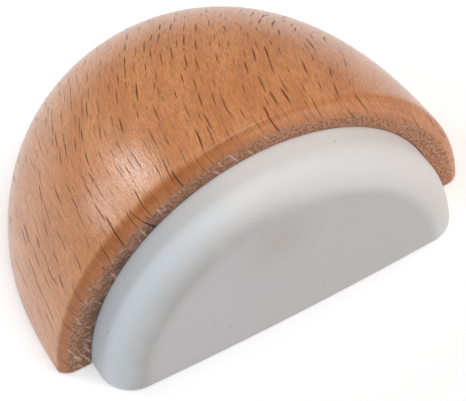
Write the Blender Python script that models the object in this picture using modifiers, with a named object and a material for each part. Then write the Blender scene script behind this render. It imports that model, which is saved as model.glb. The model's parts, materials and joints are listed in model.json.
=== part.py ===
"""Floor door stop: half of a turned beech dome with a moulded rubber buffer set in its front.

The wood is turned as a whole dome with a round recess in its front face, then sawn in two along
the turning axis, so each half is a stop with a half-round recess. The buffer fills the recess as a
push fit and pulls out towards the door, which bares the slanted screw that goes into the floor.

Frame: metres, +Z up, the floor at z = 0, and the door strikes from -Y. The origin is on the floor,
under the middle of the bounding box.
"""

import math

import bmesh
import bpy
from mathutils import Matrix, Vector

MM = 0.001

# Driving dimensions.
DOME_RADIUS = 35.0 * MM  # of the turned blank
DOME_LENGTH = 45.6 * MM  # from the front face to the back of the dome
DOME_POWER = 2.33  # of the superellipse that the dome's side follows; 2 would be an ellipse
SAW_OFFSET = 1.05 * MM  # how far the sawn underside lies above the turning axis
EDGE_DEPTH = 1.5 * MM  # of the softened edge between the dome and its front face
EDGE_WIDTH = 2.2 * MM
EDGE_POWER = 1.6  # of its superellipse: between a chamfer, at 1, and an ellipse, at 2
RECESS_DEPTH = 12.0 * MM
BUFFER_RADIUS = 30.0 * MM
BUFFER_PROUD = 8.6 * MM  # how far the middle of the buffer stands out of the wood
BUFFER_ROUND = 5.35 * MM  # radius of the buffer's rolled rim
FIT_GAP = 0.3 * MM  # between the buffer and the wood

# The buffer's front face and its hollow back.
CROWN = 0.5 * MM  # how far the face falls away from its middle to the rolled rim
RIM_TURN = 83  # degrees that the rim rolls through before it meets the face at a faint line
FACE_POINTS = 8
BUFFER_SKIN = 5.0 * MM
HOLLOW_RADIUS = 26.5 * MM
HOLLOW_ROUND = 2.0 * MM
BOTTOM_WALL = 3.0 * MM
RIB_OFFSET = 14.0 * MM
RIB_THICKNESS = 2.5 * MM
RIB_TOP = 24.0 * MM
RIB_SETBACK = 2.0 * MM
GRIP_RING_HEIGHT = 0.15 * MM
GRIP_RING_WIDTH = 1.0 * MM
GRIP_RINGS_AT = (3.5 * MM, 7.5 * MM)  # behind the wood's front face

# The floor screw, a 4 x 30 countersunk wood screw, drawn back until its point is inside the wood.
SCREW_LENGTH = 30.0 * MM
SCREW_RADIUS = 2.0 * MM
SCREW_CORE_RADIUS = 1.3 * MM
SCREW_NECK_RADIUS = 1.45 * MM
SCREW_HEAD_RADIUS = 4.0 * MM
SCREW_HEAD_RIM = 0.4 * MM
SCREW_SLANT = math.radians(45)
SCREW_EXIT = 22.0 * MM  # where the hole leaves the underside, behind the front face
POINT_HEIGHT = 0.9 * MM  # of the drawn-back point above the floor
SEAT_BEHIND_FACE = 14.0 * MM  # where the head's top ends when the screw is driven home
THREAD_PITCH = 2.0 * MM
THREAD_LENGTH = 20.0 * MM
POINT_LENGTH = 4.0 * MM
HOLE_RADIUS = 2.4 * MM
COUNTERBORE_RADIUS = 4.6 * MM

# Fineness of the round shapes.
TURNED_STEPS = 80
DOME_POINTS = 26
ROUND_POINTS = 6
SCREW_STEPS = 20

# What follows from them.
RECESS_RADIUS = BUFFER_RADIUS + FIT_GAP
BUFFER_BACK = RECESS_DEPTH - FIT_GAP
FRONT_FACE_Y = (BUFFER_PROUD - DOME_LENGTH) / 2
RIM_CENTRE = (
    BUFFER_RADIUS - BUFFER_ROUND,
    BUFFER_ROUND * math.sin(math.radians(RIM_TURN)) + CROWN - BUFFER_PROUD,
)
FACE_RADIUS = RIM_CENTRE[0] + BUFFER_ROUND * math.cos(math.radians(RIM_TURN))
HEAD_HEIGHT = SCREW_HEAD_RADIUS - SCREW_NECK_RADIUS + SCREW_HEAD_RIM
INTO_FLOOR = Vector((0, math.cos(SCREW_SLANT), -math.sin(SCREW_SLANT)))
SCREW_EXIT_POINT = Vector((0, FRONT_FACE_Y + SCREW_EXIT, 0))
PARKED_HEAD = SCREW_EXIT_POINT - INTO_FLOOR * (SCREW_LENGTH + POINT_HEIGHT / math.sin(SCREW_SLANT))
SEAT = SCREW_EXIT_POINT - INTO_FLOOR * (SCREW_EXIT - SEAT_BEHIND_FACE) / math.cos(SCREW_SLANT)

# A turned shape is drawn round its own Z axis; this lays that axis along +Y, into the dome.
TURNING_AXIS = Matrix.Translation((0, FRONT_FACE_Y, -SAW_OFFSET)) @ Matrix.Rotation(
    -math.pi / 2, 4, "X"
)
# The screw is drawn with its head's top at the origin and its point down.
SCREW_AXIS = Matrix.Rotation(SCREW_SLANT, 4, "X")


def clear_scene():
    for obj in list(bpy.data.objects):
        bpy.data.objects.remove(obj, do_unlink=True)


def new_collection(name):
    made = bpy.data.collections.new(name)
    bpy.context.scene.collection.children.link(made)
    return made


def new_material(name, colour, roughness, metallic=0.0):
    made = bpy.data.materials.new(name)
    made.use_nodes = True
    shader = made.node_tree.nodes["Principled BSDF"]
    shader.inputs["Base Color"].default_value = (*colour, 1)
    shader.inputs["Roughness"].default_value = roughness
    shader.inputs["Metallic"].default_value = metallic
    return made


def add_object(name, mesh, collection, matrix, material=None):
    obj = bpy.data.objects.new(name, mesh)
    obj.matrix_world = matrix
    collection.objects.link(obj)
    if material:
        mesh.materials.append(material)
    return obj


def as_cutter(obj):
    obj.hide_render = True
    obj.display_type = "WIRE"
    return obj


def turned(name, profile, collection, matrix, material=None, steps=TURNED_STEPS):
    """A profile of (radius, height) points, from the axis at the top down the outer side."""
    mesh = bpy.data.meshes.new(name)
    points = [(radius, 0, height) for radius, height in profile]
    edges = [(i, i + 1) for i in range(len(points) - 1)]
    mesh.from_pydata(points, edges, [])
    obj = add_object(name, mesh, collection, matrix, material)
    screw = obj.modifiers.new("turn", "SCREW")
    screw.steps = screw.render_steps = steps
    screw.use_merge_vertices = True
    screw.merge_threshold = 0.01 * MM
    screw.use_smooth_shade = True
    return obj


def box(name, low, high, collection, matrix=None):
    """A box between two corners, in the space that matrix gives."""
    low, high = Vector(low), Vector(high)
    work = bmesh.new()
    bmesh.ops.create_cube(work, size=1)
    size = Matrix.Diagonal((*(high - low), 1))
    bmesh.ops.transform(work, matrix=Matrix.Translation((low + high) / 2) @ size, verts=work.verts)
    mesh = bpy.data.meshes.new(name)
    work.to_mesh(mesh)
    work.free()
    return add_object(name, mesh, collection, matrix or Matrix.Identity(4))


def boolean(obj, other, operation):
    made = obj.modifiers.new(f"{operation.lower()} {other.name}", "BOOLEAN")
    made.operation = operation
    made.object = other


def arc(centre, radius, start, end, points):
    """Points on an arc of the profile plane, angles in degrees from the radius axis."""
    angles = [math.radians(start + (end - start) * i / points) for i in range(points + 1)]
    return [(centre[0] + radius * math.cos(a), centre[1] + radius * math.sin(a)) for a in angles]


def dome_radius_at(height):
    share = min(1, height / DOME_LENGTH)
    return DOME_RADIUS * (1 - share**DOME_POWER) ** (1 / DOME_POWER)


def dome_side():
    """The dome from its back, on the axis, to where the rounded front edge starts."""
    last = math.asin((EDGE_DEPTH / DOME_LENGTH) ** (DOME_POWER / 2))
    side = []
    for i in range(DOME_POINTS + 1):
        angle = math.pi / 2 + (last - math.pi / 2) * i / DOME_POINTS
        height = DOME_LENGTH * math.sin(angle) ** (2 / DOME_POWER)
        side.append((dome_radius_at(height), height))
    return side


def softened_edge():
    """From the dome's side round to the front face, without the first point."""
    inner = dome_radius_at(EDGE_DEPTH) - EDGE_WIDTH
    turns = [math.pi / 2 * i / ROUND_POINTS for i in range(1, ROUND_POINTS)]
    power = 2 / EDGE_POWER
    edge = [
        (inner + EDGE_WIDTH * math.cos(t) ** power, EDGE_DEPTH * (1 - math.sin(t) ** power))
        for t in turns
    ]
    return edge + [(inner, 0)]


def wood_profile():
    recess = [(RECESS_RADIUS, 0), (RECESS_RADIUS, RECESS_DEPTH), (0, RECESS_DEPTH)]
    return dome_side() + softened_edge() + recess


def grip_ring(height):
    """A low bead round the buffer, seen from back to front."""
    half = GRIP_RING_WIDTH / 2
    return [
        (BUFFER_RADIUS, height + half),
        (BUFFER_RADIUS + GRIP_RING_HEIGHT, height),
        (BUFFER_RADIUS, height - half),
    ]


def buffer_face():
    """The crowned face, from the rolled rim in to the axis."""
    shares = [1 - i / FACE_POINTS for i in range(1, FACE_POINTS + 1)]
    return [(FACE_RADIUS * share, CROWN * share**2 - BUFFER_PROUD) for share in shares]


def buffer_profile():
    back = [(0, BUFFER_BACK), (BUFFER_RADIUS - 1 * MM, BUFFER_BACK)]
    chamfer = [(BUFFER_RADIUS, BUFFER_BACK - 1 * MM)]
    rings = [point for height in reversed(GRIP_RINGS_AT) for point in grip_ring(height)]
    rim = arc(RIM_CENTRE, BUFFER_ROUND, 0, -RIM_TURN, 2 * ROUND_POINTS)
    return back + chamfer + rings + rim + buffer_face()


def hollow_profile():
    floor = BUFFER_SKIN - BUFFER_PROUD
    corner = arc(
        (HOLLOW_RADIUS - HOLLOW_ROUND, floor + HOLLOW_ROUND), HOLLOW_ROUND, 0, -90, ROUND_POINTS
    )
    above = BUFFER_BACK + 5 * MM
    return [(0, above), (HOLLOW_RADIUS, above)] + corner + [(0, floor)]


def screw_profile():
    """The plain head, neck and core; the thread is wound on afterwards."""
    neck_end = -(SCREW_LENGTH - THREAD_LENGTH)
    return [
        (0, 0),
        (SCREW_HEAD_RADIUS, 0),
        (SCREW_HEAD_RADIUS, -SCREW_HEAD_RIM),
        (SCREW_NECK_RADIUS, -HEAD_HEIGHT),
        (SCREW_NECK_RADIUS, neck_end),
        (SCREW_CORE_RADIUS, neck_end - 0.5 * MM),
        (SCREW_CORE_RADIUS, POINT_LENGTH - SCREW_LENGTH),
        (0, -SCREW_LENGTH),
    ]


def wound_thread(collection):
    """A helical ridge from the point to the neck, closed at both ends and tapered at the point."""
    half_base = 0.35 * THREAD_PITCH
    sunk = SCREW_CORE_RADIUS - 0.5 * MM
    start = 0.8 * MM - SCREW_LENGTH
    mesh = bpy.data.meshes.new("thread_ridge")
    ridge = [
        (sunk, 0, start + half_base),
        (SCREW_RADIUS, 0, start),
        (sunk, 0, start - half_base),
    ]
    mesh.from_pydata(ridge, [(0, 1), (1, 2), (2, 0)], [])
    source = add_object("thread_source", mesh, collection, Matrix.Identity(4))
    turns = int((THREAD_LENGTH - 2 * MM) / THREAD_PITCH)
    winding = source.modifiers.new("wind", "SCREW")
    winding.steps = winding.render_steps = SCREW_STEPS
    winding.iterations = turns
    winding.screw_offset = THREAD_PITCH
    bpy.context.view_layer.update()
    wound = bpy.data.meshes.new_from_object(
        source.evaluated_get(bpy.context.evaluated_depsgraph_get())
    )
    bpy.data.objects.remove(source, do_unlink=True)

    work = bmesh.new()
    work.from_mesh(wound)
    bmesh.ops.holes_fill(work, edges=[e for e in work.edges if e.is_boundary], sides=3)
    for vertex in work.verts:
        along = (vertex.co.z + SCREW_LENGTH) / POINT_LENGTH
        taper = min(1, max(0.12, along))
        vertex.co.x *= taper
        vertex.co.y *= taper
    bmesh.ops.triangulate(work, faces=work.faces)
    bmesh.ops.recalc_face_normals(work, faces=work.faces)
    work.to_mesh(wound)
    work.free()
    return wound


def screw_recess(matrix, collection):
    """The two crossed slots of the driver recess."""
    depth, half_length, half_width = 1.9 * MM, 2.1 * MM, 0.45 * MM
    slots = []
    for name, x, y in (("slot_a", half_length, half_width), ("slot_b", half_width, half_length)):
        slot = box(name, (-x, -y, -depth), (x, y, 1 * MM), collection, matrix)
        slots.append(as_cutter(slot))
    return slots


def build():
    clear_scene()
    parts = new_collection("door_stop")
    cutters = new_collection("cutters")
    beech = new_material("beech", (0.62, 0.33, 0.15), 0.35)
    rubber = new_material("rubber", (0.72, 0.71, 0.69), 0.6)
    zinc = new_material("zinc", (0.78, 0.76, 0.68), 0.3, 1.0)

    reach = 2 * DOME_LENGTH
    below_floor = as_cutter(
        box("below_floor", (-reach, -reach, -reach), (reach, reach, 0), cutters)
    )

    # The beech dome, sawn flat, with the slanted hole for the floor screw.
    wood = turned("wood_body", wood_profile(), parts, TURNING_AXIS, beech)
    boolean(wood, below_floor, "DIFFERENCE")
    hole_axis = Matrix.Translation(SEAT) @ SCREW_AXIS
    through = 20 * MM
    cone_top = COUNTERBORE_RADIUS - SCREW_HEAD_RADIUS - SCREW_HEAD_RIM - FIT_GAP * math.sqrt(2)
    cone_bottom = cone_top - (COUNTERBORE_RADIUS - HOLE_RADIUS)
    drill_profile = [
        (0, through),
        (COUNTERBORE_RADIUS, through),
        (COUNTERBORE_RADIUS, cone_top),
        (HOLE_RADIUS, cone_bottom),
        (HOLE_RADIUS, -through),
        (0, -through),
    ]
    drill = as_cutter(turned("drill", drill_profile, cutters, hole_axis, steps=2 * SCREW_STEPS))
    boolean(wood, drill, "DIFFERENCE")

    # The buffer, cut off level with the floor and hollowed from behind between two ribs.
    buffer = turned("rubber_buffer", buffer_profile(), parts, TURNING_AXIS, rubber)
    boolean(buffer, below_floor, "DIFFERENCE")
    below_wall = as_cutter(
        box("below_wall", (-reach, -reach, -reach), (reach, reach, BOTTOM_WALL), cutters)
    )
    hollow = as_cutter(turned("hollow", hollow_profile(), cutters, TURNING_AXIS))
    boolean(hollow, below_wall, "DIFFERENCE")
    boolean(buffer, hollow, "DIFFERENCE")
    rib_front = FRONT_FACE_Y - BUFFER_PROUD + BUFFER_SKIN - 1 * MM
    rib_back = FRONT_FACE_Y + BUFFER_BACK - RIB_SETBACK
    for name, side in (("rib_left", -1), ("rib_right", 1)):
        middle = side * RIB_OFFSET
        low = (middle - RIB_THICKNESS / 2, rib_front, BOTTOM_WALL - 1 * MM)
        high = (middle + RIB_THICKNESS / 2, rib_back, RIB_TOP)
        boolean(buffer, as_cutter(box(name, low, high, cutters)), "UNION")

    # The floor screw, drawn back in its hole.
    screw_matrix = Matrix.Translation(PARKED_HEAD) @ SCREW_AXIS
    screw = turned("floor_screw", screw_profile(), parts, screw_matrix, zinc, SCREW_STEPS)
    thread = as_cutter(add_object("thread", wound_thread(cutters), cutters, screw_matrix))
    boolean(screw, thread, "UNION")
    for slot in screw_recess(screw_matrix, cutters):
        boolean(screw, slot, "DIFFERENCE")


build()
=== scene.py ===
"""The looks of a half-round floor door stop: varnished beech, a moulded off-white buffer, a zinc screw.

Lengths are in metres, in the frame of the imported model: +Z up, floor at z = 0, door towards -Y.
Turned shapes are described by (radius, depth) points, where depth runs back from the front face of
the wood and the radius is taken round the turning axis, just below the floor.
"""

import json
import math

import bmesh
import bpy
from mathutils import Matrix, Vector


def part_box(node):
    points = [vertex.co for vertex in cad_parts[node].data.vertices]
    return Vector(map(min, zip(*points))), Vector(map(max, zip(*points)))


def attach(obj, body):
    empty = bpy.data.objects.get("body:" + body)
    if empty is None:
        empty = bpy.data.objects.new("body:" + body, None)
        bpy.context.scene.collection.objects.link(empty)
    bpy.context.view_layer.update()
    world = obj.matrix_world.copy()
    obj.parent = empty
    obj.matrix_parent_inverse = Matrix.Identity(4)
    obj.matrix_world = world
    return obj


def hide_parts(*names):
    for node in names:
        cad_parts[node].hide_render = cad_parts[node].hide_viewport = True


MM = 0.001

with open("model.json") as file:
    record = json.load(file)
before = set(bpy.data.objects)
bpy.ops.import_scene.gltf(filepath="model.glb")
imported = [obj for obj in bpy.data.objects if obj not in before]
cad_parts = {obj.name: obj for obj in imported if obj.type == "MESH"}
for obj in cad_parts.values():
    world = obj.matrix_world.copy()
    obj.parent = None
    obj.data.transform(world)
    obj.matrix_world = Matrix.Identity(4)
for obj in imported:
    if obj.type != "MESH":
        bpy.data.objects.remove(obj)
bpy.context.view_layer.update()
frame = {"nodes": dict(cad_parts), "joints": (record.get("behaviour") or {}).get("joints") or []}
wood_low, wood_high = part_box("wood_body")
buffer_low, buffer_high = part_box("rubber_buffer")
screw_low, screw_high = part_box("floor_screw")

# The turned shapes.
SAW_OFFSET = 1.05 * MM
FRONT_Y = wood_low.y
DOME_RADIUS = wood_high.z + SAW_OFFSET
DOME_LENGTH = wood_high.y - wood_low.y
DOME_POWER = 2.33
EDGE_DEPTH = 1.5 * MM
EDGE_WIDTH = 2.2 * MM
EDGE_POWER = 1.6
FIT_GAP = 0.3 * MM
SEEN_GAP = 0.08 * MM  # a hair line: the real buffer is taken to be squeezed in
RECESS_DEPTH = 12.0 * MM
LIP_ROUND = 0.2 * MM
BUFFER_RADIUS = 30.0 * MM
BUFFER_PROUD = FRONT_Y - buffer_low.y
BUFFER_ROUND = 5.35 * MM
RIM_TURN = 83
BUFFER_BACK = RECESS_DEPTH - FIT_GAP
RECESS_RADIUS = BUFFER_RADIUS + SEEN_GAP
CROWN = 0.5 * MM
RIM_CENTRE = (
    BUFFER_RADIUS - BUFFER_ROUND,
    BUFFER_ROUND * math.sin(math.radians(RIM_TURN)) + CROWN - BUFFER_PROUD,
)
FACE_RADIUS = RIM_CENTRE[0] + BUFFER_ROUND * math.cos(math.radians(RIM_TURN))

# The buffer's hollow back.
HOLLOW_RADIUS = 26.5 * MM
HOLLOW_ROUND = 2.0 * MM
BUFFER_SKIN = 5.0 * MM
BOTTOM_WALL = 3.0 * MM
RIB_OFFSET = 14.0 * MM
RIB_THICKNESS = 2.5 * MM
RIB_TOP = 24.0 * MM
RIB_SETBACK = 2.0 * MM

# The screw and its hole.
SCREW_DRIVE = next(joint for joint in frame["joints"] if joint["name"] == "screw_drive")
SCREW_AXIS = Vector(SCREW_DRIVE["axis"]).normalized()
SCREW_TRAVEL = SCREW_DRIVE["range_m"][1]
SCREW_HEAD_RADIUS = 4.0 * MM
SCREW_HEAD_RIM = 0.4 * MM
HOLE_RADIUS = 2.4 * MM
COUNTERBORE_RADIUS = 4.6 * MM

# Fineness of the meshes.
ARC_COLUMNS = 200
EASE_STEPS = 4
ROUND_STEPS = 10
FACE_ROWS = 40

# The log that the blank was cut from, as unit vectors of this frame.
ALONG_FIBRES = Vector((0.416, 0.768, -0.487))
ACROSS_RAYS = Vector((-0.879, 0.202, -0.432))
ALONG_RAYS = Vector((-0.233, 0.608, 0.759))


# ---------------------------------------------------------------- turned half solids


def arc(centre, radius, start, end, count=ROUND_STEPS):
    """Points on an arc in the (radius, depth) plane, with angles in degrees from the radius axis."""
    angles = [math.radians(start + (end - start) * i / count) for i in range(count + 1)]
    return [(centre[0] + radius * math.cos(a), centre[1] + radius * math.sin(a)) for a in angles]


def line(start, end, count):
    """Points between two (radius, depth) points, without the first."""
    shares = [(i + 1) / count for i in range(count)]
    return [
        (start[0] + (end[0] - start[0]) * s, start[1] + (end[1] - start[1]) * s) for s in shares
    ]


def outward_normals(profile):
    """The side to the left of the profile's direction is the air."""
    normals = []
    for i in range(len(profile)):
        before = profile[max(0, i - 1)]
        after = profile[min(len(profile) - 1, i + 1)]
        run = Vector((after[0] - before[0], after[1] - before[1])).normalized()
        normals.append(Vector((-run.y, run.x)))
    return normals


def half_turned(name, profile, ease, band_of=lambda row: 0):
    """The half of a turned solid that stands on the floor, with its lower edges eased.

    The profile starts and ends near the turning axis. band_of gives a row's material index.
    """
    work = bmesh.new()
    rows = []
    for (radius, depth), normal in zip(profile, outward_normals(profile)):
        start = math.asin(min(1, (SAW_OFFSET + ease) / radius))
        points = []
        for i in range(ARC_COLUMNS + 1):
            angle = start + (math.pi - 2 * start) * i / ARC_COLUMNS
            height = radius * math.sin(angle) - SAW_OFFSET
            points.append(Vector((radius * math.cos(angle), FRONT_Y + depth, height)))
        eased = []
        for i in range(1, EASE_STEPS + 1):
            turn = math.pi / 2 * i / EASE_STEPS
            inward = ease * (1 - math.cos(turn))
            x = points[0].x - normal.x * inward
            eased.append(Vector((x, points[0].y - normal.y * inward, ease * (1 - math.sin(turn)))))
        mirrored = [Vector((-p.x, p.y, p.z)) for p in eased]
        rows.append([work.verts.new(p) for p in eased[::-1] + points + mirrored])
    for row, (upper, lower) in enumerate(zip(rows, rows[1:])):
        for i in range(len(upper) - 1):
            face = work.faces.new((upper[i], upper[i + 1], lower[i + 1], lower[i]))
            face.material_index = band_of(row)
    bmesh.ops.remove_doubles(work, verts=work.verts, dist=0.002 * MM)
    rim = [edge for edge in work.edges if edge.is_boundary]
    filled = bmesh.ops.triangle_fill(work, edges=rim, use_beauty=True, normal=(0, 0, -1))
    for item in filled["geom"]:
        if isinstance(item, bmesh.types.BMFace):
            item.material_index = band_of(None)
    bmesh.ops.recalc_face_normals(work, faces=work.faces)
    return finished(name, work)


def finished(name, work, sharp=35):
    mesh = bpy.data.meshes.new(name)
    work.to_mesh(mesh)
    work.free()
    mesh.shade_smooth()
    mesh.set_sharp_from_angle(angle=math.radians(sharp))
    obj = bpy.data.objects.new(name, mesh)
    bpy.context.scene.collection.objects.link(obj)
    return obj


def turned(name, profile, matrix, steps=64):
    """A whole turned solid round its own Z, from (radius, height) points, axis to axis."""
    work = bmesh.new()
    rings = []
    for radius, height in profile:
        angles = [2 * math.pi * i / steps for i in range(steps)]
        ring = [work.verts.new((radius * math.cos(a), radius * math.sin(a), height)) for a in angles]
        rings.append(ring)
    for upper, lower in zip(rings, rings[1:]):
        for i in range(steps):
            work.faces.new((upper[i - 1], upper[i], lower[i], lower[i - 1]))
    bmesh.ops.remove_doubles(work, verts=work.verts, dist=0.001 * MM)
    bmesh.ops.recalc_face_normals(work, faces=work.faces)
    bmesh.ops.transform(work, matrix=matrix, verts=work.verts)
    return finished(name, work)


def box(name, low, high):
    work = bmesh.new()
    bmesh.ops.create_cube(work, size=1)
    low, high = Vector(low), Vector(high)
    size = Matrix.Diagonal((*(high - low), 1))
    bmesh.ops.transform(work, matrix=Matrix.Translation((low + high) / 2) @ size, verts=work.verts)
    return finished(name, work)


def cut(obj, cutter, operation="DIFFERENCE"):
    """Applies the Boolean and drops the cutter. The cut faces take the cutter's material."""
    made = obj.modifiers.new("cut", "BOOLEAN")
    made.operation = operation
    made.material_mode = "TRANSFER"
    made.object = cutter
    bpy.context.view_layer.update()
    shaped = bpy.data.meshes.new_from_object(
        obj.evaluated_get(bpy.context.evaluated_depsgraph_get())
    )
    obj.modifiers.clear()
    obj.data = shaped
    bpy.data.objects.remove(cutter, do_unlink=True)
    shaped.set_sharp_from_angle(angle=math.radians(35))


# ---------------------------------------------------------------- the wood


def dome_radius_at(depth):
    share = min(1, depth / DOME_LENGTH)
    return DOME_RADIUS * (1 - share**DOME_POWER) ** (1 / DOME_POWER)


def dome_side(count):
    """The dome from near its back to where the rounded front edge starts."""
    tip = SAW_OFFSET + WOOD_EASE
    first = math.acos((tip / DOME_RADIUS) ** (DOME_POWER / 2))
    last = math.asin((EDGE_DEPTH / DOME_LENGTH) ** (DOME_POWER / 2))
    side = []
    for i in range(count + 1):
        angle = first + (last - first) * i / count
        depth = DOME_LENGTH * math.sin(angle) ** (2 / DOME_POWER)
        side.append((dome_radius_at(depth), depth))
    return side


def softened_edge():
    """From the dome's side round to the front face, without the first point."""
    inner = dome_radius_at(EDGE_DEPTH) - EDGE_WIDTH
    turns = [math.pi / 2 * i / EDGE_ROWS for i in range(1, EDGE_ROWS)]
    power = 2 / EDGE_POWER
    edge = [
        (inner + EDGE_WIDTH * math.cos(t) ** power, EDGE_DEPTH * (1 - math.sin(t) ** power))
        for t in turns
    ]
    return edge + [(inner, 0)]


WOOD_EASE = 0.35 * MM
EDGE_ROWS = 14
FLAT_ROWS = 8
DOME_ROWS = 130


def make_wood(varnished, bare):
    shell = dome_side(DOME_ROWS) + softened_edge()
    lip_start = (RECESS_RADIUS + LIP_ROUND, 0)
    inside = line(shell[-1], lip_start, FLAT_ROWS)
    inside += arc((lip_start[0], LIP_ROUND), LIP_ROUND, -90, -180)[1:]
    corner = (RECESS_RADIUS - LIP_ROUND, RECESS_DEPTH - LIP_ROUND)
    inside += line(inside[-1], (RECESS_RADIUS, corner[1]), 20)
    inside += arc(corner, LIP_ROUND, 0, 90)[1:]
    inside += line(inside[-1], (SAW_OFFSET + WOOD_EASE, RECESS_DEPTH), 12)
    bare_from = len(shell) + FLAT_ROWS - 1
    wood = half_turned(
        "beech_body",
        shell + inside,
        WOOD_EASE,
        lambda row: 1 if row is None or row >= bare_from else 0,
    )
    wood.data.materials.append(varnished)
    wood.data.materials.append(bare)
    drill = turned("drill", drill_profile(), screw_matrix(SCREW_TRAVEL))
    drill.data.materials.append(bare)
    cut(wood, drill)
    return wood


def screw_matrix(driven=0.0):
    """Places what is drawn along -Z below the screw's head, driven in by a distance."""
    lean = SCREW_HEAD_RADIUS * math.sqrt(0.5)
    head = Vector((0, screw_low.y + lean, screw_high.z - lean))
    turn = Vector((0, 0, -1)).rotation_difference(SCREW_AXIS).to_matrix().to_4x4()
    return Matrix.Translation(head + SCREW_AXIS * driven) @ turn


def drill_profile():
    through = 20 * MM
    cone_top = COUNTERBORE_RADIUS - SCREW_HEAD_RADIUS - SCREW_HEAD_RIM - FIT_GAP * math.sqrt(2)
    cone_bottom = cone_top - (COUNTERBORE_RADIUS - HOLE_RADIUS)
    return [
        (0, through),
        (COUNTERBORE_RADIUS, through),
        (COUNTERBORE_RADIUS, cone_top),
        (HOLE_RADIUS, cone_bottom),
        (HOLE_RADIUS, -through),
        (0, -through),
    ]


# ---------------------------------------------------------------- the buffer

BUFFER_EASE = 0.4 * MM


def make_buffer(rubber):
    chamfer = 1.0 * MM
    back = BUFFER_BACK
    profile = line((BUFFER_RADIUS - chamfer, back), (SAW_OFFSET + BUFFER_EASE, back), 6)[::-1]
    profile += line(profile[-1], (BUFFER_RADIUS - chamfer, back), 1)
    profile += line(profile[-1], (BUFFER_RADIUS, back - chamfer), 3)
    profile += line(profile[-1], (BUFFER_RADIUS, RIM_CENTRE[1]), 40)
    profile += arc(RIM_CENTRE, BUFFER_ROUND, 0, -RIM_TURN, 3 * ROUND_STEPS)[1:]
    profile += buffer_face()
    buffer = half_turned("white_buffer", profile, BUFFER_EASE)
    buffer.data.materials.append(rubber)
    hollow = make_hollow(rubber)
    cut(buffer, hollow)
    return buffer


def buffer_face():
    """The crowned face, from the rolled rim in to near the axis."""
    face = []
    innermost = SAW_OFFSET + BUFFER_EASE
    for i in range(1, FACE_ROWS + 1):
        radius = FACE_RADIUS + (innermost - FACE_RADIUS) * i / FACE_ROWS
        face.append((radius, CROWN * (radius / FACE_RADIUS) ** 2 - BUFFER_PROUD))
    return face


def make_hollow(rubber):
    """What the mould's core leaves open behind the buffer's front skin, on both sides of two ribs."""
    floor = BUFFER_SKIN - BUFFER_PROUD
    corner = (HOLLOW_RADIUS - HOLLOW_ROUND, floor + HOLLOW_ROUND)
    profile = [(0, BUFFER_BACK + 5 * MM), (HOLLOW_RADIUS, BUFFER_BACK + 5 * MM)]
    profile += arc(corner, HOLLOW_ROUND, 0, -90) + [(0, floor)]
    along_y = Matrix.Translation((0, FRONT_Y, -SAW_OFFSET)) @ Matrix.Rotation(-math.pi / 2, 4, "X")
    hollow = turned("hollow", profile, along_y, 128)
    hollow.data.materials.append(rubber)
    reach = 2 * DOME_LENGTH
    cut(hollow, box("below_wall", (-reach, -reach, -reach), (reach, reach, BOTTOM_WALL)))
    for side in (-1, 1):
        middle = side * RIB_OFFSET
        low = (middle - RIB_THICKNESS / 2, -reach, -reach)
        high = (middle + RIB_THICKNESS / 2, FRONT_Y + BUFFER_BACK - RIB_SETBACK, RIB_TOP)
        cut(hollow, box("rib", low, high))
    return hollow


# ---------------------------------------------------------------- node helpers


def is_socket(value):
    return isinstance(value, bpy.types.NodeSocket)


def node(tree, kind, inputs=None, **settings):
    """Adds a node; an input is a socket to link or a value to set."""
    made = tree.nodes.new(kind)
    for name, value in settings.items():
        setattr(made, name, value)
    for key, value in (inputs or {}).items():
        if is_socket(value):
            tree.links.new(value, made.inputs[key])
        else:
            made.inputs[key].default_value = value
    return made


def calc(tree, operation, *values, clamp=False):
    inputs = dict(enumerate(values))
    return node(tree, "ShaderNodeMath", inputs, operation=operation, use_clamp=clamp).outputs[0]


def product(tree, *factors):
    result = factors[0]
    for factor in factors[1:]:
        result = calc(tree, "MULTIPLY", result, factor)
    return result


def vector(tree, operation, *values):
    made = node(tree, "ShaderNodeVectorMath", dict(enumerate(values)), operation=operation)
    scalar = operation in ("DOT_PRODUCT", "LENGTH", "DISTANCE")
    return made.outputs["Value" if scalar else "Vector"]


def fade(tree, value, start, end, low=0.0, high=1.0):
    """A smooth step from low to high as value goes from start to end."""
    made = node(
        tree,
        "ShaderNodeMapRange",
        {"Value": value, "From Min": start, "From Max": end, "To Min": low, "To Max": high},
        interpolation_type="SMOOTHSTEP",
    )
    return made.outputs["Result"]


def blend(tree, factor, first, second, mode="MIX"):
    made = node(tree, "ShaderNodeMix", data_type="RGBA", blend_type=mode)
    for socket, value in zip((made.inputs[0], made.inputs[6], made.inputs[7]), (factor, first, second)):
        if is_socket(value):
            tree.links.new(value, socket)
        else:
            socket.default_value = value if isinstance(value, float) else (*value, 1)
    return made.outputs[2]


def noise(tree, place, scale, detail=2.0, roughness=0.5, output="Fac"):
    inputs = {"Vector": place, "Scale": scale, "Detail": detail, "Roughness": roughness}
    return node(tree, "ShaderNodeTexNoise", inputs).outputs[output]


def place_in_mm(tree):
    place = node(tree, "ShaderNodeTexCoord").outputs["Object"]
    return vector(tree, "MULTIPLY", place, (1 / MM, 1 / MM, 1 / MM))


def new_material(name):
    made = bpy.data.materials.new(name)
    made.use_nodes = True
    return made, made.node_tree, made.node_tree.nodes["Principled BSDF"]


# ---------------------------------------------------------------- beech


def log_space(tree, place):
    """The place in the log: across the rays, along the rays and along the fibres, in millimetres."""
    sway = noise(tree, place, 0.05, 1.0, output="Color")
    sway = vector(tree, "MULTIPLY", vector(tree, "SUBTRACT", sway, (0.5, 0.5, 0.5)), (5.0, 5.0, 5.0))
    swayed = vector(tree, "ADD", place, sway)
    axes = (ACROSS_RAYS, ALONG_RAYS, ALONG_FIBRES)
    parts = [vector(tree, "DOT_PRODUCT", swayed, tuple(axis)) for axis in axes]
    return node(tree, "ShaderNodeCombineXYZ", dict(enumerate(parts))).outputs[0]


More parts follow.
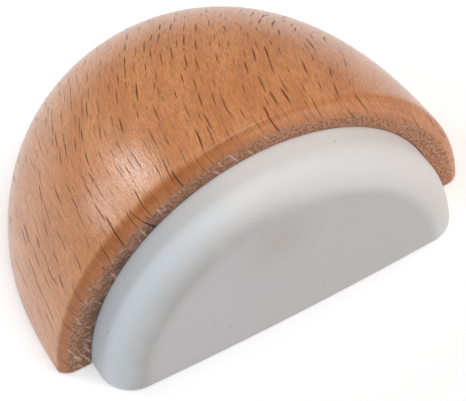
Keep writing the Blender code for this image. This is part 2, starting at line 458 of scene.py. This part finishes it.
def grain_marks(tree, log, spacing, half_size, shift, share):
    """Scattered spindle-shaped marks, at most one to a cell: a mask, and a random number for each."""
    cells = vector(tree, "DIVIDE", log, spacing)
    cells = vector(tree, "ADD", cells, (shift, shift, shift))
    voronoi = node(tree, "ShaderNodeTexVoronoi", {"Vector": cells, "Scale": 1.0})
    chance = node(tree, "ShaderNodeSeparateColor", {"Color": voronoi.outputs["Color"]}).outputs
    offset = vector(tree, "SUBTRACT", cells, voronoi.outputs["Position"])
    offset = vector(tree, "MULTIPLY", offset, tuple(s / h for s, h in zip(spacing, half_size)))
    size = fade(tree, chance[0], 0.0, 1.0, 0.55, 1.25)
    distance = calc(tree, "DIVIDE", vector(tree, "LENGTH", offset), size)
    mark = fade(tree, distance, 1.0, 0.35)
    kept = calc(tree, "LESS_THAN", chance[1], share)
    return calc(tree, "MULTIPLY", mark, kept), chance[2]


def scattered_marks(tree, log, edge_on):
    """Long and short ray flecks where the rays come out edge on, and fine vessel lines."""
    flecks, chance = grain_marks(tree, log, (1.75, 9.0, 3.8), (0.165, 11.0, 2.1), 0.0, 0.95)
    flecks = calc(tree, "MULTIPLY", flecks, fade(tree, chance, 0.0, 1.0, 0.6, 1.0))
    small, chance = grain_marks(tree, log, (1.1, 6.0, 2.2), (0.08, 6.0, 0.95), 7.3, 0.8)
    small = calc(tree, "MULTIPLY", small, fade(tree, chance, 0.0, 1.0, 0.15, 0.6))
    rays = calc(tree, "MULTIPLY", calc(tree, "MAXIMUM", flecks, small), edge_on)
    vessels, chance = grain_marks(tree, log, (1.3, 1.3, 6.0), (0.1, 0.1, 2.4), 3.1, 0.7)
    vessels = calc(tree, "MULTIPLY", vessels, fade(tree, chance, 0.0, 1.0, 0.1, 0.45))
    return calc(tree, "MAXIMUM", rays, vessels)


def beech_grain():
    """A group with what all the beech faces share: its colour before varnish, its marks, its relief."""
    tree = bpy.data.node_groups.new("beech_grain", "ShaderNodeTree")
    outputs = (("Colour", "NodeSocketColor"), ("Marks", "NodeSocketFloat"), ("Height", "NodeSocketFloat"))
    for name, kind in outputs:
        tree.interface.new_socket(name, in_out="OUTPUT", socket_type=kind)
    log = log_space(tree, place_in_mm(tree))
    facing = node(tree, "ShaderNodeTexCoord").outputs["Normal"]
    across = calc(tree, "ABSOLUTE", vector(tree, "DOT_PRODUCT", facing, tuple(ACROSS_RAYS)))
    marks = scattered_marks(tree, log, fade(tree, across, 0.97, 0.75))

    fibre = noise(tree, vector(tree, "MULTIPLY", log, (5.5, 5.5, 1.8)), 1.0, 3.0, 0.6)
    streak = noise(tree, vector(tree, "MULTIPLY", log, (3.4, 0.5, 0.55)), 1.0, 2.0, 0.6)
    pores = noise(tree, vector(tree, "MULTIPLY", log, (3.6, 3.6, 1.5)), 1.0, 2.0, 0.6)
    cloud = noise(tree, vector(tree, "MULTIPLY", log, (0.22, 0.12, 0.05)), 1.0, 2.0)
    colour = blend(tree, fade(tree, cloud, 0.3, 0.7), PALE_BEECH, DEEP_BEECH)
    colour = blend(tree, fade(tree, streak, 0.4, 0.62, 0.0, 0.32), colour, DARK_FIBRE)
    colour = blend(tree, fade(tree, fibre, 0.38, 0.68, 0.0, 0.3), colour, DARK_FIBRE)
    colour = blend(tree, fade(tree, pores, 0.5, 0.7, 0.0, 0.35), colour, DARK_FIBRE)
    colour = blend(tree, marks, colour, FLECK)

    height = calc(tree, "MULTIPLY_ADD", streak, 0.6, calc(tree, "MULTIPLY", pores, 0.8))
    height = calc(tree, "MULTIPLY_ADD", fibre, 0.4, height)
    height = calc(tree, "SUBTRACT", height, calc(tree, "MULTIPLY", marks, 0.6))
    node(tree, "NodeGroupOutput", {0: colour, 1: marks, 2: height})
    return tree


PALE_BEECH = (0.79, 0.33, 0.125)
DEEP_BEECH = (0.68, 0.255, 0.085)
DARK_FIBRE = (0.34, 0.125, 0.045)
FLECK = (0.17, 0.042, 0.008)
BARE_PALE = (0.60, 0.325, 0.20)
BARE_DEEP = (0.29, 0.115, 0.058)
# blotchy soiling together with painted shade, for the bare front face
SOIL_AND_SHADE = (0.10, 0.055, 0.04)
CHALK = (0.76, 0.54, 0.42)
# painted shade for the rounded front edge
EDGE_SHADE = (0.7, 0.58, 0.36)
TOOL_LINE = (0.9, 0.48, 0.24)
TOOL_LINE_PITCH = 0.4
GRAIN_RELIEF = 0.08 * MM
CRACK = (0.045, 0.022, 0.014)
CRACK_FOOT = Vector((-17.5, -18.5, 24.3))  # on the recess's lip, in millimetres
ACROSS_CRACK = Vector((-0.796, 0.048, -0.604))


def bare_colour(tree, place, axes):
    """Bare wood: stippled pores, pale rays, and a front face darkened towards -X and round the recess,
    partly by blotchy soiling and partly by painted shade.
    """
    log = log_space(tree, place)
    x = axes["X"]
    front = fade(tree, axes["Y"], FRONT_Y / MM + 4.0, FRONT_Y / MM + 1.0)
    stipple = noise(tree, place, 2.8, 3.0, 0.7)
    bare = blend(tree, fade(tree, stipple, 0.38, 0.64), BARE_PALE, BARE_DEEP)
    blotch = fade(tree, noise(tree, place, 0.5, 2.0, 0.6), 0.3, 0.6, 0.6, 1.0)
    inner = fade(tree, turning_radius(tree, axes), 33.0, 30.6, 0.5, 1.0)
    # blotchy soiling with painted shade next to the buffer and towards -X
    soiled_and_shaded = product(tree, fade(tree, x, 6.0, -24.0, 0.08, 0.8), blotch, inner, front)
    bare = blend(tree, soiled_and_shaded, bare, SOIL_AND_SHADE)
    rays = noise(tree, vector(tree, "MULTIPLY", log, (1.9, 0.2, 0.25)), 1.0, 1.0, 0.6)
    rays = product(tree, fade(tree, rays, 0.62, 0.68, 0.0, 0.5), fade(tree, x, 13.0, 5.0))
    bare = blend(tree, rays, bare, CHALK)
    torn = noise(tree, vector(tree, "MULTIPLY", log, (0.7, 2.4, 1.6)), 1.0, 2.0, 0.6)
    torn = product(tree, fade(tree, torn, 0.54, 0.68, 0.0, 0.28), front, fade(tree, x, 0.0, -20.0))
    return blend(tree, torn, bare, CHALK)


def turning_radius(tree, axes):
    height = calc(tree, "ADD", axes["Z"], SAW_OFFSET / MM)
    square = calc(tree, "MULTIPLY", height, height)
    return calc(tree, "SQRT", calc(tree, "MULTIPLY_ADD", axes["X"], axes["X"], square))


def crack_mask(tree, place, depth):
    """One open check, a straight line from the recess's lip up over the rounded edge."""
    beside = vector(tree, "SUBTRACT", place, tuple(CRACK_FOOT))
    away = calc(tree, "ABSOLUTE", vector(tree, "DOT_PRODUCT", beside, tuple(ACROSS_CRACK)))
    climb = node(tree, "ShaderNodeSeparateXYZ", {"Vector": beside}).outputs["Z"]
    width = fade(tree, climb, -1.0, 4.2, 0.16, 0.05)
    crack = calc(tree, "LESS_THAN", away, width)
    crack = calc(tree, "MULTIPLY", crack, calc(tree, "LESS_THAN", depth, 2.0))
    x = node(tree, "ShaderNodeSeparateXYZ", {"Vector": beside}).outputs["X"]
    return calc(tree, "MULTIPLY", crack, calc(tree, "COMPARE", x, -1.5, 2.2))


def varnish_cover(tree, place, axes, depth):
    """1 where the varnish is whole, 0 where the rounded edge is bare, out to a ragged line."""
    ragged = calc(tree, "SUBTRACT", noise(tree, place, 0.6, 3.0, 0.6), 0.5)
    bare_to = fade(tree, axes["X"], 0.0, 14.0, 32.9, 31.9)
    bare_to = calc(tree, "ADD", bare_to, fade(tree, axes["X"], 21.0, 34.0, 0.0, 1.6))
    bare_to = calc(tree, "ADD", bare_to, fade(tree, axes["X"], -23.0, -32.0, 0.0, 1.0))
    beyond = calc(tree, "SUBTRACT", turning_radius(tree, axes), bare_to)
    beyond = calc(tree, "MULTIPLY_ADD", ragged, 1.2, beyond)
    return calc(tree, "MAXIMUM", fade(tree, beyond, -0.25, 0.25), fade(tree, depth, 0.8, 1.0))


def coated_colour(tree, plain, axes, depth):
    """The wood's own colour with painted shade that deepens it on the rounded edge, most so at -X, and
    tool lines at +X.
    """
    # painted shade: the rounded edge darkened, most towards -X
    rounded = fade(tree, depth, 2.0, 0.9)
    rounded = calc(tree, "MULTIPLY", rounded, fade(tree, axes["X"], 6.0, -8.0, 0.4, 1.0))
    edge_shaded = blend(tree, 1.0, plain, EDGE_SHADE, "MULTIPLY")
    colour = blend(tree, rounded, plain, edge_shaded)
    wave = calc(tree, "SINE", calc(tree, "MULTIPLY", depth, 2 * math.pi / TOOL_LINE_PITCH))
    starts = fade(tree, axes["X"], 13.0, 20.0, 0.0, 0.18)
    ends = fade(tree, axes["X"], 30.0, 24.0)
    lines = product(tree, fade(tree, wave, -0.2, 1.0), rounded, starts, ends)
    return blend(tree, lines, colour, TOOL_LINE)


def add_bump(tree, height, strength, distance, socket):
    inputs = {"Height": height, "Strength": strength, "Distance": distance}
    bump = node(tree, "ShaderNodeBump", inputs)
    tree.links.new(bump.outputs[0], socket)


def add_varnish(tree, shader, coated, marks, depth):
    """A clear coat, thinner in the flecks and duller on the rounded edge."""
    weight = fade(tree, marks, 0.0, 1.0, 0.62, 0.15)
    tree.links.new(calc(tree, "MULTIPLY", coated, weight), shader.inputs["Coat Weight"])
    tree.links.new(fade(tree, depth, 2.8, 1.8, 0.17, 0.34), shader.inputs["Coat Roughness"])
    tree.links.new(fade(tree, coated, 0.0, 1.0, 0.8, 0.42), shader.inputs["Roughness"])


def beech(name, grain, varnished):
    """Beech: varnished, but bare where the rounded edge meets the front face, or bare all over."""
    made, tree, shader = new_material(name)
    wood = node(tree, "ShaderNodeGroup", node_tree=grain).outputs
    place = place_in_mm(tree)
    axes = node(tree, "ShaderNodeSeparateXYZ", {"Vector": place}).outputs
    depth = calc(tree, "SUBTRACT", axes["Y"], FRONT_Y / MM)
    colour = bare_colour(tree, place, axes)
    if varnished:
        coated = varnish_cover(tree, place, axes, depth)
        colour = blend(tree, coated, colour, coated_colour(tree, wood["Colour"], axes, depth))
        add_varnish(tree, shader, coated, wood["Marks"], depth)
    else:
        shader.inputs["Roughness"].default_value = 0.8
    colour = blend(tree, crack_mask(tree, place, depth), colour, CRACK)
    tree.links.new(colour, shader.inputs["Base Color"])
    shader.inputs["Specular IOR Level"].default_value = 0.3
    add_bump(tree, wood["Height"], 0.8, GRAIN_RELIEF, shader.inputs["Normal"])
    add_bump(tree, wood["Height"], 0.32, GRAIN_RELIEF, shader.inputs["Coat Normal"])
    return made


# ---------------------------------------------------------------- rubber and steel


RUBBER_PALE = (0.79, 0.785, 0.775)
RUBBER_DEEP = (0.76, 0.755, 0.745)
# painted shade with a cool tint for the -X side, and below it with a warm tint for the +X side
RUBBER_COOL_SHADE = (0.685, 0.705, 0.715)
RUBBER_WARM_SHADE = (0.735, 0.715, 0.70)
# painted shade for the buffer's flat face
RUBBER_FACE_SHADE = (0.51, 0.505, 0.505)
# partly grime and partly painted shade, for the ring round the buffer's face
GRIME_AND_SHADE = (0.37, 0.36, 0.345)
SMUDGE = (0.42, 0.37, 0.31)
SPECK = (0.2, 0.18, 0.16)
SMUDGE_CENTRE = (-2.0, 0.0, 19.0)  # on the buffer's face, in millimetres
SMUDGE_REACH = (9.0, 1000.0, 8.0)


def plain_rubber(tree, place, axes):
    """Faintly clouded off-white, with painted shade that is darker and cooler towards -X and darker and
    warmer towards +X.
    """
    cloud = noise(tree, place, 0.09, 3.0)
    colour = blend(tree, fade(tree, cloud, 0.35, 0.65), RUBBER_PALE, RUBBER_DEEP)
    # painted shade: darker and cooler towards -X, darker and warmer towards +X
    colour = blend(tree, fade(tree, axes["X"], -5.0, -22.0), colour, RUBBER_COOL_SHADE)
    return blend(tree, fade(tree, axes["X"], 12.0, 30.0), colour, RUBBER_WARM_SHADE)


def marked_rubber(tree, colour, place, axes):
    """Painted shade on the flat face, a dark ring where it meets the rolled rim that is partly grime and
    partly painted shade, and one faint smudge.
    """
    radius = turning_radius(tree, axes)
    proud = calc(tree, "SUBTRACT", axes["Y"], FRONT_Y / MM)
    front = fade(tree, proud, -4.0, -6.0)
    edge = FACE_RADIUS / MM
    within = fade(tree, radius, edge + 1.0, edge - 1.5)
    # painted shade: the flat face darker than the rim
    colour = blend(tree, calc(tree, "MULTIPLY", within, front), colour, RUBBER_FACE_SHADE)
    grime = noise(tree, place, 0.25, 4.0, 0.6)
    outer = fade(tree, radius, edge + 4.6, edge + 0.4)
    inner = fade(tree, radius, edge - 2.0, edge + 0.4)
    # the ring is partly grime and partly painted shade, strongest towards -X
    side = fade(tree, axes["X"], 14.0, -14.0, 0.25, 0.8)
    ring = product(tree, outer, inner, side, fade(tree, grime, 0.2, 0.6, 0.75, 1.0), front)
    colour = blend(tree, ring, colour, GRIME_AND_SHADE)
    rubbed = vector(tree, "SUBTRACT", place, SMUDGE_CENTRE)
    rubbed = vector(tree, "LENGTH", vector(tree, "DIVIDE", rubbed, SMUDGE_REACH))
    patchy = fade(tree, grime, 0.3, 0.6, 0.1, 0.4)
    smudge = product(tree, fade(tree, rubbed, 1.0, 0.1), patchy, front)
    return blend(tree, smudge, colour, SMUDGE)


def white_rubber():
    made, tree, shader = new_material("white_rubber")
    place = place_in_mm(tree)
    axes = node(tree, "ShaderNodeSeparateXYZ", {"Vector": place}).outputs
    colour = marked_rubber(tree, plain_rubber(tree, place, axes), place, axes)
    specks = node(tree, "ShaderNodeTexVoronoi", {"Vector": place, "Scale": 0.25})
    dot = fade(tree, specks.outputs["Distance"], 0.06, 0.03, 0.0, 0.5)
    tree.links.new(blend(tree, dot, colour, SPECK), shader.inputs["Base Color"])
    shader.inputs["Roughness"].default_value = 0.55
    shader.inputs["Specular IOR Level"].default_value = 0.4
    add_bump(tree, noise(tree, place, 6.0, 3.0, 0.6), 0.15, 0.03 * MM, shader.inputs["Normal"])
    return made


def zinc_steel():
    made, tree, shader = new_material("zinc_steel")
    place = place_in_mm(tree)
    cloud = noise(tree, place, 0.6, 3.0)
    colour = blend(tree, fade(tree, cloud, 0.3, 0.7), (0.72, 0.68, 0.55), (0.62, 0.62, 0.6))
    tree.links.new(colour, shader.inputs["Base Color"])
    shader.inputs["Metallic"].default_value = 1.0
    tree.links.new(fade(tree, cloud, 0.3, 0.7, 0.25, 0.4), shader.inputs["Roughness"])
    return made


# ---------------------------------------------------------------- stage, light and camera

AIM = Vector((0, FRONT_Y + 0.3 * DOME_RADIUS, 0.3 * DOME_RADIUS))
CAMERA_AZIMUTH = math.radians(-26.638)
CAMERA_ELEVATION = math.radians(51.223)
CAMERA_ROLL = math.radians(-4.803)
CAMERA_DISTANCE = 0.35
CAMERA_LENS = 180.45
AIM_RIGHT = 0.021 * DOME_RADIUS
AIM_UP = -0.060 * DOME_RADIUS


def add_camera():
    azimuth, elevation = CAMERA_AZIMUTH, CAMERA_ELEVATION
    back = Vector(
        (
            math.sin(azimuth) * math.cos(elevation),
            -math.cos(azimuth) * math.cos(elevation),
            math.sin(elevation),
        )
    )
    level_right = Vector((0, 0, 1)).cross(back).normalized()
    level_up = back.cross(level_right)
    right = level_right * math.cos(CAMERA_ROLL) + level_up * math.sin(CAMERA_ROLL)
    up = back.cross(right)
    data = bpy.data.cameras.new("camera")
    data.lens = CAMERA_LENS
    data.clip_start = 0.01
    camera = bpy.data.objects.new("camera", data)
    turn = Matrix((right, up, back)).transposed().to_4x4()
    eye = AIM + right * AIM_RIGHT + up * AIM_UP + back * CAMERA_DISTANCE
    camera.matrix_world = Matrix.Translation(eye) @ turn
    bpy.context.scene.collection.objects.link(camera)
    bpy.context.scene.camera = camera


def add_softbox(name, direction, distance, size, watts, colour):
    data = bpy.data.lights.new(name, "AREA")
    data.shape = "RECTANGLE"
    data.size, data.size_y = size
    data.energy = watts
    data.color = colour
    light = bpy.data.objects.new(name, data)
    towards = Vector(direction).normalized()
    light.location = AIM + towards * distance
    light.rotation_euler = towards.to_track_quat("Z", "Y").to_euler()
    bpy.context.scene.collection.objects.link(light)


def add_floor():
    made, tree, shader = new_material("pale_floor")
    shader.inputs["Base Color"].default_value = (0.9, 0.9, 0.9, 1)
    shader.inputs["Roughness"].default_value = 0.9
    shader.inputs["Emission Color"].default_value = (1, 1, 1, 1)
    shader.inputs["Emission Strength"].default_value = 0.26
    reach = 3.0
    work = bmesh.new()
    corners = [(-reach, -reach, 0), (reach, -reach, 0), (reach, reach, 0), (-reach, reach, 0)]
    work.faces.new([work.verts.new(c) for c in corners])
    floor = finished("floor", work)
    floor.location.z = -0.05 * MM
    floor.data.materials.append(made)


def light_stage():
    world = bpy.data.worlds.new("studio")
    world.use_nodes = True
    background = world.node_tree.nodes["Background"]
    background.inputs["Color"].default_value = (0.93, 0.96, 1.0, 1)
    background.inputs["Strength"].default_value = 0.25
    bpy.context.scene.world = world
    bpy.context.scene.view_settings.view_transform = "Standard"
    add_softbox("window", (-0.49, 0.65, 0.58), 0.6, (0.09, 0.135), 0.62, (0.86, 0.93, 1.0))
    add_softbox("far_window", (-0.7, 0.63, 0.34), 0.6, (0.09, 0.15), 0.32, (0.88, 0.94, 1.0))
    add_softbox("sky", (-0.75, -0.35, 0.55), 0.6, (0.3, 0.3), 0.36, (0.3, 0.66, 1.0))
    add_softbox("lamp", (0.12, -0.16, 0.98), 0.6, (0.44, 0.44), 2.15, (1.0, 0.95, 0.9))
    add_softbox("wall", (0.46, -0.86, 0.18), 0.6, (0.3, 0.1), 0.7, (1.0, 0.84, 0.77))


# ---------------------------------------------------------------- put together


def build():
    grain = beech_grain()
    varnished = beech("varnished_beech", grain, True)
    bare = beech("bare_beech", grain, False)
    rubber = white_rubber()
    steel = zinc_steel()

    wood = make_wood(varnished, bare)
    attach(wood, "body")
    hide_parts("wood_body")

    buffer = make_buffer(rubber)
    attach(buffer, "buffer")
    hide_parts("rubber_buffer")

    screw = frame["nodes"]["floor_screw"]
    screw.material_slots[0].material = steel

    add_floor()
    light_stage()
    add_camera()


build()
